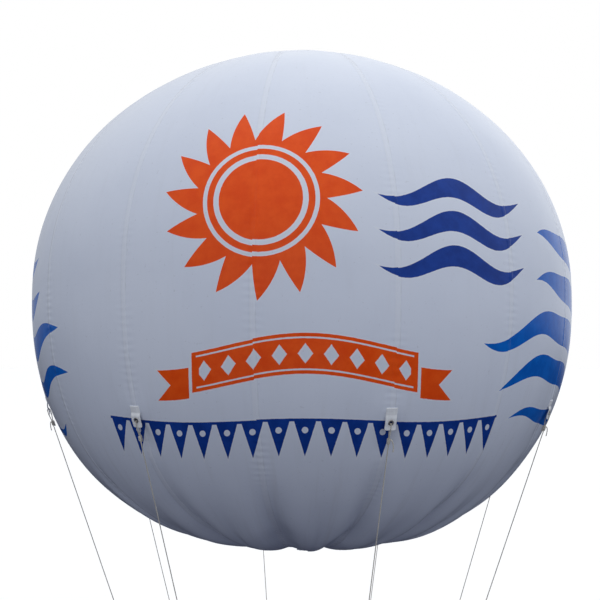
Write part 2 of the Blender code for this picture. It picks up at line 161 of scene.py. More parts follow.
class Amount:
    """A number in a node tree, so that formulas made of nodes read as arithmetic."""

    def __init__(self, socket):
        self.socket = socket
        self.tree = socket.id_data

    def math(self, operation, *others, swapped=False):
        node = self.tree.nodes.new("ShaderNodeMath")
        node.operation = operation
        values = (self, *others)[::-1] if swapped else (self, *others)
        for socket, value in zip(node.inputs, values):
            feed(value, socket)
        return Amount(node.outputs[0])

    __add__ = __radd__ = operator("ADD")
    __mul__ = __rmul__ = operator("MULTIPLY")
    __sub__ = operator("SUBTRACT")
    __rsub__ = operator("SUBTRACT", swapped=True)
    __truediv__ = operator("DIVIDE")
    __pow__ = operator("POWER")
    __rpow__ = operator("POWER", swapped=True)
    __abs__ = operator("ABSOLUTE")
    cos = operator("COSINE")
    sin = operator("SINE")
    root = operator("SQRT")
    above = operator("GREATER_THAN")
    most = operator("MAXIMUM")
    least = operator("MINIMUM")

    def __neg__(self):
        return self * -1

    def kept(self, low, high):
        return self.most(low).least(high)

    def wrapped(self, half):
        """Brought into -half to +half by whole turns."""
        return self.math("WRAP", half, -half)

    def hill(self, width):
        """1 where the value is 0, and near 0 two widths away."""
        share = self / width
        return e ** -(share * share)

    def ramp(self, low, high):
        """0 at low and 1 at high, with soft ends."""
        node = self.tree.nodes.new("ShaderNodeMapRange")
        node.interpolation_type = "SMOOTHSTEP"
        for name, value in (("Value", self), ("From Min", low), ("From Max", high)):
            feed(value, node.inputs[name])
        return Amount(node.outputs["Result"])

    def between(self, low, high):
        """low where the value is 0, and high where it is 1."""
        return self * (high - low) + low


def feed(value, socket):
    """Links an amount or a socket, or sets a plain value. A colour is opaque."""
    if isinstance(value, Amount):
        value = value.socket
    if isinstance(value, bpy.types.NodeSocket):
        socket.id_data.links.new(value, socket)
    else:
        socket.default_value = (*value, 1) if isinstance(value, tuple) else value


def add_node(tree, kind, inputs=(), **settings):
    node = tree.nodes.new(kind)
    for name, value in settings.items():
        setattr(node, name, value)
    for name, value in dict(inputs).items():
        feed(value, node.inputs[name])
    return node


def vector(x, y, z=0):
    """A vector of three values, of which at least one is an amount."""
    tree = next(part.tree for part in (x, y, z) if isinstance(part, Amount))
    return add_node(tree, "ShaderNodeCombineXYZ", {"X": x, "Y": y, "Z": z}).outputs[0]


def parts_of(place):
    node = add_node(place.id_data, "ShaderNodeSeparateXYZ", {"Vector": place})
    return [Amount(output) for output in node.outputs]


def noise(place, scale, detail=2, roughness=0.5):
    """Soft noise from 0 to 1."""
    inputs = {"Vector": place, "Scale": scale, "Detail": detail, "Roughness": roughness}
    return Amount(add_node(place.id_data, "ShaderNodeTexNoise", inputs).outputs[0])


def chance(number, seed):
    """A fixed random share from 0 to 1 for each whole number."""
    inputs = {"Vector": vector(number, seed)}
    node = add_node(number.tree, "ShaderNodeTexWhiteNoise", inputs, noise_dimensions="2D")
    return Amount(node.outputs["Value"])


def mix(share, low, high):
    """A colour from low to high as the share goes from 0 to 1."""
    node = add_node(share.tree, "ShaderNodeMix", data_type="RGBA")
    for index, value in ((0, share), (6, low), (7, high)):
        feed(value, node.inputs[index])
    return node.outputs[2]


# Growing meshes


def new_tree(name, *sizes):
    """A Geometry Nodes tree that takes a mesh, named sizes and a material."""
    tree = bpy.data.node_groups.new(name, "GeometryNodeTree")
    sockets = [("Geometry", "OUTPUT", "Geometry"), ("Geometry", "INPUT", "Geometry")]
    sockets += [(size, "INPUT", "Float") for size in sizes] + [("Material", "INPUT", "Material")]
    for label, side, kind in sockets:
        tree.interface.new_socket(label, in_out=side, socket_type="NodeSocket" + kind)
    source = tree.nodes.new("NodeGroupInput")
    return tree, source, [Amount(source.outputs[size]) for size in sizes]


def passed(geometry, kind, inputs=(), **settings):
    """What a node makes of a geometry, which goes into its first socket."""
    node = add_node(geometry.id_data, "GeometryNode" + kind, inputs, **settings)
    feed(geometry, node.inputs[0])
    return node.outputs[0]


def made(tree, kind, inputs=()):
    """The first output of a node that takes no geometry."""
    return add_node(tree, "GeometryNode" + kind, inputs).outputs[0]


def end_tree(source, geometry):
    """Realizes the instances, sets the material and ends the tree."""
    geometry = passed(geometry, "RealizeInstances")
    geometry = passed(geometry, "SetShadeSmooth")
    geometry = passed(geometry, "SetMaterial", {"Material": source.outputs["Material"]})
    feed(geometry, source.id_data.nodes.new("NodeGroupOutput").inputs[0])
    return source.id_data


def grow(name, tree, sizes, material, start=None):
    """The plain mesh object that a tree makes, from a starting mesh where it needs one."""
    obj = add_piece(name, start or bpy.data.meshes.new(name))
    modifier = add_modifier(obj, "NODES", node_group=tree)
    values = {**sizes, "Material": material}
    for item in tree.interface.items_tree:
        if item.in_out == "INPUT" and item.name in values:
            modifier[item.identifier] = values[item.name]
    return applied(obj)


def add_modifier(obj, kind, **settings):
    modifier = obj.modifiers.new(kind.title(), kind)
    for name, value in settings.items():
        setattr(modifier, name, value)
    return modifier


def applied(obj):
    """The same object with its modifiers turned into its mesh."""
    graph = bpy.context.evaluated_depsgraph_get()
    mesh = bpy.data.meshes.new_from_object(
        obj.evaluated_get(graph), preserve_all_data_layers=True, depsgraph=graph
    )
    obj.modifiers.clear()
    obj.data = mesh
    return obj


def add_piece(name, mesh):
    obj = bpy.data.objects.new(name, mesh)
    bpy.context.scene.collection.objects.link(obj)
    return obj


def paint(obj, material):
    """Gives a piece this material only."""
    obj.data.materials.clear()
    obj.data.materials.append(material)


def finish_piece(obj, replaced, body="balloon"):
    """Puts a piece on its body, in place of its CAD nodes."""
    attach(obj, body)
    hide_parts(*replaced)
    return obj


# The skin


def outline(latitude):
    """Reach and height of the film, and which way it faces. latitude is -1 to 1, pole to pole."""
    up = latitude.above(0)
    turn = abs(latitude) * (pi / 2)
    across = turn.cos().most(0)
    along = turn.sin()
    power = up.between(2 / BASE_FULLNESS, 2 / CROWN_FULLNESS)
    depth = up.between(BASE_DROP, CROWN_RISE)
    side = up.between(-1, 1)
    lean_out = across ** (2 - power) / RADIUS
    lean_up = side * along ** (2 - power) / depth
    lean = (lean_out * lean_out + lean_up * lean_up).root()
    reach = RADIUS * across**power
    height = side * depth * along**power
    return reach, height, lean_out / lean, lean_up / lean


def seam_offset(azimuth):
    """How far the nearest seam is, in gores, and its number."""
    gores = (azimuth - FIRST_SEAM) / GORE_ANGLE
    seam = gores.math("ROUND")
    return gores - seam, seam.math("WRAP", GORES - 0.5, -0.5)


def pleats(azimuth, latitude, reach, place):
    """Folds that run down the seams to the base, where the film has more cloth than it needs."""
    offset, seam = seam_offset(azimuth)
    low = -latitude
    start = 0.27 + 0.12 * chance(seam, 1)
    strength = low.ramp(start, 0.66) * (1 - low.ramp(0.925, 0.985))
    strength = strength * (1 - 0.68 * low.ramp(0.66, 0.82))
    wander = (noise(place, 1.9, 1) - 0.5) * 0.11 * strength
    aside = offset * GORE_ANGLE * reach + wander
    width = 0.034 + 0.028 * chance(seam, 2)
    depth = (0.022 + 0.028 * chance(seam, 3)) * strength
    bias = chance(seam, 4).above(0.5) * 2 - 1
    valley = aside.hill(width) - 0.38 * (abs(aside) - width * 2.1).hill(width)
    lay_over = bias * (aside / width) * aside.hill(width * 1.25)
    swell = depth * (0.55 * lay_over - valley)

    lobes = (offset * pi).sin()
    swell = swell + lobes * lobes * (0.002 + 0.008 * low.ramp(0.35, 0.9))
    middle = (0.5 - abs(offset)) * GORE_ANGLE * reach
    base = low.ramp(0.68, 0.86) * (1 - low.ramp(0.94, 0.985))
    swell = swell - middle.hill(0.022) * 0.009 * base * (0.4 + chance(seam, 5))
    crown = latitude.ramp(0.8, 0.93) * (1 - latitude.ramp(0.945, 0.985))
    return swell - aside.hill(0.02) * 0.004 * crown


def tab_pull(azimuth, height, reach):
    """The pull of each strap: a tug at its weld, a dent below it, and small creases."""
    aside = (azimuth - FIRST_SEAM).wrapped(TAB_ANGLE / 2) * reach
    below = WELD_MIDDLE - height
    tug = aside.hill(0.075) * below.hill(0.07) * 0.005
    dent = aside.hill(0.06) * (below - 0.125).hill(0.065) * 0.011
    creases = (aside * (tau / 0.043)).cos() * aside.hill(0.085)
    creases = creases * ((below - 0.085).hill(0.05) + (below + 0.075).hill(0.04) * 0.5) * 0.0022
    return tug - dent + creases


def skin(azimuth, latitude, lift):
    """The place of a point of the film, lifted outwards by so much."""
    reach, height, lean_out, lean_up = outline(latitude)
    place = vector(azimuth.cos() * reach, azimuth.sin() * reach, height)
    soft = (noise(place, 1.15, 1) - 0.5) * 0.016 * reach.ramp(0.15, 0.7)
    swell = lift + soft + pleats(azimuth, latitude, reach, place)
    swell = swell + tab_pull(azimuth, height, reach)
    far = reach + lean_out * swell
    return vector(far * azimuth.sin(), -far * azimuth.cos(), height + lean_up * swell)


def grid_of(tree, columns, rows):
    """A grid with its place as a column number and a row from 0 to 1."""
    sizes = {"Size X": 1, "Size Y": 1, "Vertices X": columns + 1, "Vertices Y": rows + 1}
    x, y, _ = parts_of(made(tree, "InputPosition"))
    return made(tree, "MeshGrid", sizes), (x + 0.5) * columns, y + 0.5


def pole_latitude(radius, fullness):
    """The latitude, as a share of the way to the pole, where the film has this radius."""
    return acos((radius / RADIUS) ** (fullness / 2)) / (pi / 2)


def gore_tree():
    """One gore, from its edge under the last gore's lap to its own lap over the next."""
    tree, source, (number, lift, half) = new_tree("gore", "Number", "Lap Lift", "Lap Half")
    grid, column, row = grid_of(tree, PANEL_COLUMNS + LAP_COLUMNS, GORE_ROWS)
    low = -pole_latitude(POLE_OPENING, BASE_FULLNESS)
    high = pole_latitude(POLE_OPENING, CROWN_FULLNESS)
    # Rows are closer together towards the base, and columns towards the seams
    share = row * 2 - 1
    share = (share + 0.25 * (share * share - 1)) * 0.5 + 0.5
    latitude = share * (high - low) + low
    reach = outline(latitude)[0]
    inner = (column / PANEL_COLUMNS).least(1)
    inner = inner - (inner * tau).sin() * (0.55 / tau)
    # The lap steps up in its first column and turns its rim down in its last
    lap = (column - PANEL_COLUMNS).most(0)
    step = lap.least(1) * 0.15 + (lap - 1).kept(0, 3) * 0.65 + (lap - 4).most(0) * 0.09
    start = -half * 0.8 / reach
    end = GORE_ANGLE - half * 1.1 / reach
    azimuth = start + inner * (end - start) + step * half / reach
    azimuth = azimuth + (number - 1) * GORE_ANGLE + FIRST_SEAM
    raised = lift * (lap.least(1) - (lap - 4).most(0) * 1.5)
    place = skin(azimuth, latitude, raised)
    return end_tree(source, passed(grid, "SetPosition", {"Position": place}))


def build_gores(film):
    tree = gore_tree()
    sizes = {"Lap Lift": LAP_LIFT, "Lap Half": LAP_HALF}
    gores = []
    for number in range(1, GORES + 1):
        gore = grow(f"gore_film_{number:02d}", tree, {"Number": float(number), **sizes}, film)
        gores.append(finish_piece(gore, [f"gore_{number:02d}"]))
    return gores


def patch_tree(name, side, fullness):
    """A round patch on a pole, its rim pressed into the gores by the weld."""
    tree, source, (lift,) = new_tree(name, "Lift")
    columns, rows = 192, 44
    grid, column, row = grid_of(tree, columns, rows)
    wide = pole_latitude(PATCH_RADIUS, fullness)
    latitude = side * (1 - row * (1 - wide))
    radius = row * PATCH_RADIUS
    rim = (row - 0.988).most(0) * (1 / 0.012)
    weld = (radius - PATCH_WELD).hill(0.004) * 0.0006
    ribs = (radius * (tau / 0.011)).cos() * 0.00025 * (radius - 0.118).ramp(0, 0.004)
    raised = lift + ribs - weld - rim * rim * (lift + 0.0006)
    azimuth = column * (tau / columns) * -side
    patch = passed(grid, "SetPosition", {"Position": skin(azimuth, latitude, raised)})
    return end_tree(source, passed(patch, "MergeByDistance", {"Distance": 0.0001}))


def build_patches(film):
    for name, side, fullness in (("crown", 1, CROWN_FULLNESS), ("base", -1, BASE_FULLNESS)):
        tree = patch_tree(f"{name}_patch", side, fullness)
        patch = grow(f"{name}_patch_film", tree, {"Lift": PATCH_LIFT}, film)
        finish_piece(patch, [f"{name}_patch"])


# Turned parts and eyelets


def as_mesh(name, shape):
    """Ends a bmesh as a smooth mesh."""
    mesh = bpy.data.meshes.new(name)
    for face in shape.faces:
        face.smooth = True
    shape.to_mesh(mesh)
    shape.free()
    return mesh


def turned(name, profile, segments, closed=False):
    """A mesh turned about Z from (radius, height) points, with its poles closed."""
    shape = bmesh.new()
    points = [shape.verts.new((radius, 0, height)) for radius, height in profile]
    edges = [shape.edges.new(pair) for pair in zip(points, points[1:])]
    if closed:
        edges.append(shape.edges.new((points[-1], points[0])))
    bmesh.ops.spin(
        shape, geom=points + edges, cent=(0, 0, 0), axis=(0, 0, 1), angle=tau, steps=segments
    )
    bmesh.ops.remove_doubles(shape, verts=shape.verts, dist=1e-6)
    bmesh.ops.recalc_face_normals(shape, faces=shape.faces)
    return as_mesh(name, shape)


def station_turn(number):
    """Turn about Z that carries +X to the numbered tab."""
    return Matrix.Rotation(FIRST_SEAM + (number - 1) * TAB_ANGLE - pi / 2, 4, "Z")


def by_eyelet(out, down, aside=0):
    """A point near the eyelet, before its station is turned into place."""
    flat = EYELET + LINE_OUT * out + LINE_DOWN * down
    return Vector((flat.x, aside, flat.y))


def ring_tree():
    """Copies of a shape at even turns about Z."""
    tree, source, (count, first) = new_tree("ring", "Count", "First Turn")
    points = made(tree, "Points", {"Count": count})
    turn = vector(0, 0, Amount(made(tree, "InputIndex")) / count * tau + first)
    inputs = {"Instance": source.outputs[0], "Rotation": turn}
    return end_tree(source, passed(points, "InstanceOnPoints", inputs))


def build_eyelets(metal):
    """Rolled rings through the straps: a domed face outside and a flatter washer behind."""
    # Radius and height in millimetres
    domed = [(6, 1.9), (6.15, 2.6), (6.7, 3.05), (7.6, 3.2), (8.9, 3.05), (10.6, 2.55)]
    domed += [(11.9, 2.15), (12.4, 1.85), (12.5, 1.5), (12.3, 1.2)]
    washer = [(12.3, -1.2), (12.5, -1.5), (12.4, -1.8), (11.8, -2), (9.4, -2.1), (8.7, -2.3)]
    washer += [(8.2, -2.7), (7.4, -2.9), (6.5, -2.7), (6.1, -2.3), (6, -1.8)]
    profile = [(radius / 1000, height / 1000) for radius, height in domed + washer]
    ring = turned("eyelet_ring", profile, 56, closed=True)
    out = Vector((LINE_OUT.x, 0, LINE_OUT.y))
    facing = out.to_track_quat("Z", "Y").to_matrix().to_4x4()
    ring.transform(Matrix.Translation(by_eyelet(0, 0)) @ facing)
    sizes = {"Count": float(TABS), "First Turn": FIRST_SEAM - pi / 2}
    eyelets = grow("eyelets", ring_tree(), sizes, metal, ring)
    finish_piece(eyelets, [f"eyelet_{n}" for n in STATIONS])


# Straps


def film_finder(gores):
    """A function that finds the outermost point of the film and its normal in a level direction."""
    shape = bmesh.new()
    for gore in gores:
        shape.from_mesh(gore.data)
    tree = BVHTree.FromBMesh(shape)
    shape.free()

    def skin_at(azimuth, height):
        outward = Vector((sin(azimuth), -cos(azimuth), 0))
        start = outward * 2 * RADIUS + Vector((0, 0, height))
        place, normal, _, _ = tree.ray_cast(start, -outward)
        return place, normal if normal.dot(outward) > 0 else -normal

    return skin_at


def soft_step(share):
    share = min(max(share, 0), 1)
    return share * share * (3 - 2 * share)


def weld_bars(run):
    """How deep the welding bars have pressed the strap, at a distance down its weld."""
    margin = 0.004
    share = (run - margin) / (WELD_LENGTH - 2 * margin)
    if not 0 <= share <= 1:
        return 0
    return 0.5 - 0.5 * cos(share * 4 * tau)


def strap_bow(number, aside, past_eyelet):
    """How far the strap's free end stands off its plane. Each strap curls and leans its own way."""
    lean = (0.0012, -0.0008, 0.0016, 0.0004, -0.0014, 0.0009, -0.0005, 0.0013)[number - 1]
    curl = (0.0014, 0.0026, -0.0006, 0.002, 0.0009, -0.001, 0.0024, 0.0004)[number - 1]
    past = max(past_eyelet - 0.012, 0) / 0.022
    cup = -0.0011 * (aside / (STRAP_WIDTH / 2)) ** 2 * soft_step(abs(past_eyelet) / 0.02)
    return curl * past * past + cup + lean * past * aside / 0.02


def strap_point(skin_at, number, aside, run):
    """Middle of the strap, so far to the side and so far down from the top of its weld."""
    azimuth = FIRST_SEAM + (number - 1) * TAB_ANGLE
    turn = station_turn(number)
    height = EYELET.y + EYELET_RUN - min(run, WELD_LENGTH)
    place, normal = skin_at(azimuth + aside / EYELET.x, height)
    rim = min(run, STRAP_WIDTH / 2 - abs(aside))
    press = 0.0009 * (1 - soft_step(rim / 0.0025)) + 0.0005 * soft_step(weld_bars(run))
    welded = place + normal * (STRAP_THICKNESS / 2 - press)
    free = run - WELD_LENGTH
    if free <= 0:
        return welded
    past_eyelet = free - WELD_TO_EYELET
    target = turn @ by_eyelet(strap_bow(number, aside, past_eyelet), past_eyelet, aside)
    down = turn.to_3x3() @ Vector((LINE_DOWN.x, 0, LINE_DOWN.y))
    return (welded + down * free).lerp(target, soft_step(free / STRAP_BEND))


def strap_rows():
    """Distances down the strap: close together on the weld, wider on the free end."""
    rows = [i * 0.00065 for i in range(40)] + [WELD_LENGTH + i * 0.002 for i in range(35)]
    return [run for run in rows if run < STRAP_LENGTH - 0.001] + [STRAP_LENGTH]


def strap_half(run):
    """Half the strap's width, which is less at the rounded corners of its end."""
    past = run - (STRAP_LENGTH - STRAP_CORNER)
    if past <= 0:
        return STRAP_WIDTH / 2
    return STRAP_WIDTH / 2 - STRAP_CORNER + sqrt(max(STRAP_CORNER**2 - past**2, 0))


def build_strap(number, skin_at, film):
    columns = 26
    drawn = 0.0105  # corners nearer than this to the eyelet's middle lie on the hole's rim
    cleared = 0.0092  # and faces nearer than this are left out
    grid = []
    for run in strap_rows():
        half = strap_half(run)
        grid.append([((2 * column / columns - 1) * half, run) for column in range(columns + 1)])
    shape = bmesh.new()
    verts = {}

    def corner_at(row, column):
        if (row, column) not in verts:
            aside, run = grid[row][column]
            off = hypot(aside, run - EYELET_RUN)
            if off < drawn:
                pull = STRAP_HOLE / off
                aside, run = aside * pull, EYELET_RUN + (run - EYELET_RUN) * pull
            verts[row, column] = shape.verts.new(strap_point(skin_at, number, aside, run))
        return verts[row, column]

    for row in range(len(grid) - 1):
        for column in range(columns):
            places = [(row, column), (row + 1, column), (row + 1, column + 1), (row, column + 1)]
            middle = [sum(grid[r][c][axis] for r, c in places) / 4 for axis in (0, 1)]
            if hypot(middle[0], middle[1] - EYELET_RUN) > cleared:
                shape.faces.new([corner_at(*place) for place in places])
    bmesh.ops.remove_doubles(shape, verts=shape.verts, dist=1e-5)
    strap = add_piece(f"strap_{number}", as_mesh(f"strap_{number}", shape))
    paint(strap, film)
    add_modifier(strap, "SOLIDIFY", thickness=STRAP_THICKNESS, offset=0)
    add_modifier(strap, "BEVEL", width=0.0005, segments=2, angle_limit=radians(50))
    finish_piece(applied(strap), [f"tether_tab_{number}"])


# Ropes


def evened(points, step):
    """The same path with points at even steps."""
    path = [points[0]]
    left = step
    for start, end in zip(points, points[1:]):
        length = (end - start).length
        while left <= length:
            path.append(start.lerp(end, left / length))
            left += step
        left -= length
    return path + [points[-1]]


def softened(points, step, rounds):
    """The path with its corners rounded, as a rope takes them."""
    path = evened(points, step)
    for _ in range(rounds):
        inner = [(a + b * 2 + c) / 4 for a, b, c in zip(path, path[1:], path[2:])]
        path = [path[0], *inner, path[-1]]
    return path


def path_mesh(name, points, ends=0.01):
    """A line to lay rope along, with its melted ends a little thicker."""
    mesh = bpy.data.meshes.new(name)
    mesh.from_pydata(points, [(i, i + 1) for i in range(len(points) - 1)], [])
    thick = mesh.attributes.new("thick", "FLOAT", "POINT")
    runs = [0]
    for a, b in zip(points, points[1:]):
        runs.append(runs[-1] + (b - a).length)
    for item, run in zip(thick.data, runs):
        near = min(run, runs[-1] - run) / ends
        item.value = 1 + 0.12 * sin(pi * min(near, 1))
        if near < 0.18:
            item.value *= 0.55 + 0.45 * near / 0.18
    return mesh


def captured(geometry, value):
    """Keeps a value on a geometry's points for use after it changes."""
    node = geometry.id_data.nodes.new("GeometryNodeCaptureAttribute")
    node.capture_items.new("FLOAT", "kept")
    feed(geometry, node.inputs["Geometry"])
    feed(value, node.inputs["kept"])
    return node.outputs["Geometry"], Amount(node.outputs["kept"])


def rope_tree():
    """Laid rope: three strands that turn round each other along a path."""
    tree, source, (radius, lay, step) = new_tree("laid_rope", "Radius", "Lay", "Step")
    curve = passed(source.outputs[0], "MeshToCurve")
    curve = passed(curve, "ResampleCurve", {"Length": step}, mode="LENGTH")
    run = Amount(tree.nodes.new("GeometryNodeSplineParameter").outputs["Length"])
    curve = passed(curve, "SetCurveTilt", {"Tilt": run / lay * tau})
    thick = made(tree, "InputNamedAttribute", {"Name": "thick"})
    curve = passed(curve, "SetCurveRadius", {"Radius": thick})
    curve, run = captured(curve, run)

    ring = made(tree, "CurvePrimitiveCircle", {"Resolution": 12, "Radius": radius})
    off = abs(Amount(made(tree, "InputIndex")).wrapped(2)) / 2
    crest = 1 - off * off
    x, y, z = parts_of(made(tree, "InputPosition"))
    shrink = 0.72 + crest * 0.28
    place = vector(x * shrink, y * shrink, z)
    profile = passed(ring, "SetPosition", {"Position": place})
    profile, crest = captured(profile, crest)

    inputs = {"Profile Curve": profile, "Scale": thick, "Fill Caps": True}
    mesh = passed(curve, "CurveToMesh", inputs)
    for name, value in (("run", run), ("crest", crest)):
        inputs = {"Name": name, "Value": value}
        mesh = passed(mesh, "StoreNamedAttribute", inputs, data_type="FLOAT")
    return end_tree(source, mesh)


def coil(wide, deep, start, turns, first_angle, pitch, steps=20):
    """Turns of a rope round a line that runs down: (out, down, aside) points."""
    points = []
    for i in range(round(turns * steps) + 1):
        angle = first_angle + i / steps * tau
        down = start + i / steps * pitch
        points.append((wide * cos(angle), down, deep * sin(angle)))
    return points


def line_points(number):
    """One harness line, from its tail by the knot, through the eyelet, to below the plate."""
    sway = (0.5, -0.3, 0.9, -0.8, 0.2, 0.7, -0.6, 0.1)[number - 1]
    tail = [(0.019, 0.122 + 0.006 * sway, 0.017), (0.018, 0.104, 0.0165 + 0.002 * sway)]
    tail += [(0.0155, 0.088, 0.0145), (0.0115, 0.076, 0.0105)]
    wraps = coil(0.008, 0.0056, 0.0725, 4.4, 0.9, 0.0053)
    side = [(0.0031, 0.0032), (0.0071, 0.0072), (0.0071, 0.0365), (0.0026, 0.07)]
    back = [(-0.0045, 0.103, 0.0005), (-0.0026, 0.099, 0)]
    back += [(-out, down, 0) for out, down in side[::-1]]
    front = [(out, down, 0) for out, down in side + [(0.0026, 0.104), (0.0022, 0.16)]]
    points = [by_eyelet(*place) for place in tail + wraps + back + front]

    hole = HOLE_CIRCLE
    points += [Vector((hole, 0, PLATE_TOP + 0.006)), Vector((hole, 0, PLATE_BOTTOM - 0.016))]
    knot = coil(0.0051, 0.0051, 0.0145, 2.6, 2.4 + sway, -0.0042)
    points += [Vector((hole + out, aside, PLATE_BOTTOM - down)) for out, down, aside in knot]
    out, down, aside = knot[-1]
    end = Vector((hole + out * 1.9, aside * 1.9, PLATE_BOTTOM - down - 0.003))
    points += [end, end + Vector((out * 0.7, aside * 0.7, -0.013))]
    return points


def build_lines(rope):
    tree = rope_tree()
    sizes = {"Radius": ROPE_RADIUS, "Lay": 0.026, "Step": 0.0024}
    for number in STATIONS:
        turn = station_turn(number)
        points = softened([turn @ point for point in line_points(number)], 0.0011, 7)
        name = f"harness_rope_{number}"
        line = grow(name, tree, sizes, rope, path_mesh(name, points))
        finish_piece(line, [f"harness_line_{number}"])


# Neck and its tie


def neck_outline():
    """Radius, drop below the seat and share of folding, down the neck."""
    shoulder = [(0.0655, -0.0016, 0), (0.06, 0, 0), (0.048, 0.0002, 0.02)]
    shoulder += [(0.0385, 0.0016, 0.1), (0.034, 0.006, 0.25), (0.0295, 0.012, 0.5)]
    shoulder += [(0.0215, 0.0185, 0.85), (0.013, 0.0235, 1)]
    pinch = [(0.0094, PINCH_DROP - 0.004, 1), (0.009, PINCH_DROP, 1)]
    pinch += [(0.0094, PINCH_DROP + 0.004, 1), (0.015, PINCH_DROP + 0.0095, 1)]
    tail = [(0.021, 0.0475, 0.85), (0.0252, 0.056, 0.62), (0.0275, MOUTH_DROP, 0.5)]
    return shoulder + pinch + tail


def spline(points, steps):
    """Points on a smooth curve through the given ones."""
    places = [Vector(point) for point in points]
    ends = [places[0] * 2 - places[1], *places, places[-1] * 2 - places[-2]]
    path = []
    for a, b, c, d in zip(ends, ends[1:], ends[2:], ends[3:]):
        path += interpolate_bezier(b, b + (c - a) / 6, c - (d - b) / 6, c, steps + 1)[:-1]
    return path + [places[-1]]


def fold(angle, share, down):
    """How far the neck's film folds in and out, as a share of its radius."""
    drift = 6 * down
    waves = 0.55 * cos(7 * angle + 0.6 + drift) + 0.3 * cos(11 * angle - 1.1 - drift)
    waves += 0.2 * cos(4 * angle + 2) + 0.16 * cos(17 * angle + 0.4 + 2 * drift)
    return 0.21 * share * waves


def neck_point(angle, radius, down, share):
    """A point of the neck's film. Towards its mouth the tail is flatter and its rim waves."""
    reach = radius * (1 + fold(angle, share, down))
    flat = 1 - 0.16 * soft_step((down - 0.04) / 0.03) * sin(angle) ** 2
    lift = 0.0025 * soft_step((down - 0.048) / 0.02) * cos(3 * angle + 0.5)
    return (reach * cos(angle), reach * sin(angle) * flat, NECK_SEAT - down + abs(lift))


def build_neck(film):
    columns = 160
    shape = bmesh.new()
    rings = []
    for radius, down, share in spline(neck_outline(), 5):
        angles = [column / columns * tau for column in range(columns)]
        places = [neck_point(angle, radius, down, share) for angle in angles]
        rings.append([shape.verts.new(place) for place in places])
    for upper, lower in zip(rings, rings[1:]):
        for i in range(columns):
            j = (i + 1) % columns
            shape.faces.new((upper[i], lower[i], lower[j], upper[j]))
    bmesh.ops.recalc_face_normals(shape, faces=shape.faces)
    neck = add_piece("filling_sleeve", as_mesh("filling_sleeve", shape))
    paint(neck, film)
    add_modifier(neck, "SOLIDIFY", thickness=NECK_WALL, offset=0)
    finish_piece(applied(neck), ["filling_neck"])


def spots(places, first):
    """Reach, turn and drop as (out, down, aside) points, with turns counted from the first."""
    return [
        (reach * cos(first + turn), down, reach * sin(first + turn))
        for reach, turn, down in places
    ]


def build_tie(rope):
    """Cord wound round the gathered neck, crossed over itself, with two short ends."""
    wraps = coil(TIE_RADIUS, TIE_RADIUS, 0, 3.3, 0.2, 0.0042, 32)
    start = [(0.036, -0.8, 0.024), (0.029, -0.62, 0.017), (0.0215, -0.42, 0.009)]
    start += [(0.0182, -0.22, 0.0035), (0.0165, 0, 0.0008)]
    end = [(0.0172, 0.2, 0.0125), (0.02, 0.3, 0.0035), (0.0205, 0.1, -0.0028)]
    end += [(0.0178, -0.2, -0.0008), (0.0182, -0.32, 0.01), (0.0225, -0.3, 0.016)]
    end += [(0.03, -0.22, 0.021), (0.037, -0.16, 0.026)]
    last = atan2(wraps[-1][2], wraps[-1][0])
    top = NECK_SEAT - PINCH_DROP + 0.0065
    places = spots(start, 0) + wraps + spots(end, last)
    points = softened([Vector((x, y, top - down)) for x, down, y in places], 0.0008, 5)
    sizes = {"Radius": 0.0019, "Lay": 0.0125, "Step": 0.0012}
    cord = grow("neck_cord", rope_tree(), sizes, rope, path_mesh("neck_cord", points, 0.006))
    finish_piece(cord, ["neck_tie"])


# Plate and swivel


def cut_by(obj, cutter):
    """Takes a cutter's shape out of a piece."""
    tool = add_piece("cutter", cutter)
    add_modifier(obj, "BOOLEAN", object=tool, solver="EXACT")
    applied(obj)
    bpy.data.objects.remove(tool)


def rod(radius, low, high, segments):
    return turned("rod", [(0, high), (radius, high), (radius, low), (0, low)], segments)


def joined(meshes):
    """One mesh of several."""
    shape = bmesh.new()
    for mesh in meshes:
        shape.from_mesh(mesh)
    return as_mesh("joined", shape)


def build_plate(steel):
    """Laser-cut disc with its burrs taken off."""
    plate = add_piece("gather_plate", rod(PLATE_RADIUS, PLATE_BOTTOM, PLATE_TOP, 128))
    low, high = PLATE_BOTTOM - 0.01, PLATE_TOP + 0.01
    drills = [rod(SHANK_RADIUS + 0.0004, low, high, 40)]
    for number in STATIONS:
        drill = rod(HOLE_RADIUS, low, high, 32)
        drill.transform(station_turn(number) @ Matrix.Translation((HOLE_CIRCLE, 0, 0)))
        drills.append(drill)
    cut_by(plate, joined(drills))
    add_modifier(plate, "BEVEL", width=0.0006, segments=3, angle_limit=radians(40))
    paint(applied(plate), steel)
    plate.data.set_sharp_from_angle(angle=SHARP_ANGLE)
    finish_piece(plate, ["harness_plate"])


def build_bolt(steel):
    """Socket-headed shoulder bolt, on which the plate turns."""
    seat = PLATE_TOP + SWIVEL_GAP
    crown = seat + 0.007
    foot = PLATE_BOTTOM - SHANK_REACH
    profile = [(0, crown), (0.008, crown), (0.0091, crown - 0.0004), (0.0098, crown - 0.0012)]
    profile += [(0.01, crown - 0.002), (0.01, seat + 0.0012), (0.0097, seat + 0.0006)]
    profile += [(0.0097, seat), (SHANK_RADIUS, seat), (SHANK_RADIUS, foot), (0, foot)]
    bolt = add_piece("shoulder_bolt", turned("shoulder_bolt", profile, 72))
    cut_by(bolt, rod(0.0046, seat + 0.0032, seat + 0.02, 6))
    paint(bolt, steel)
    bolt.data.set_sharp_from_angle(angle=SHARP_ANGLE)
    finish_piece(bolt, ["swivel_bolt"], "tether_swivel")


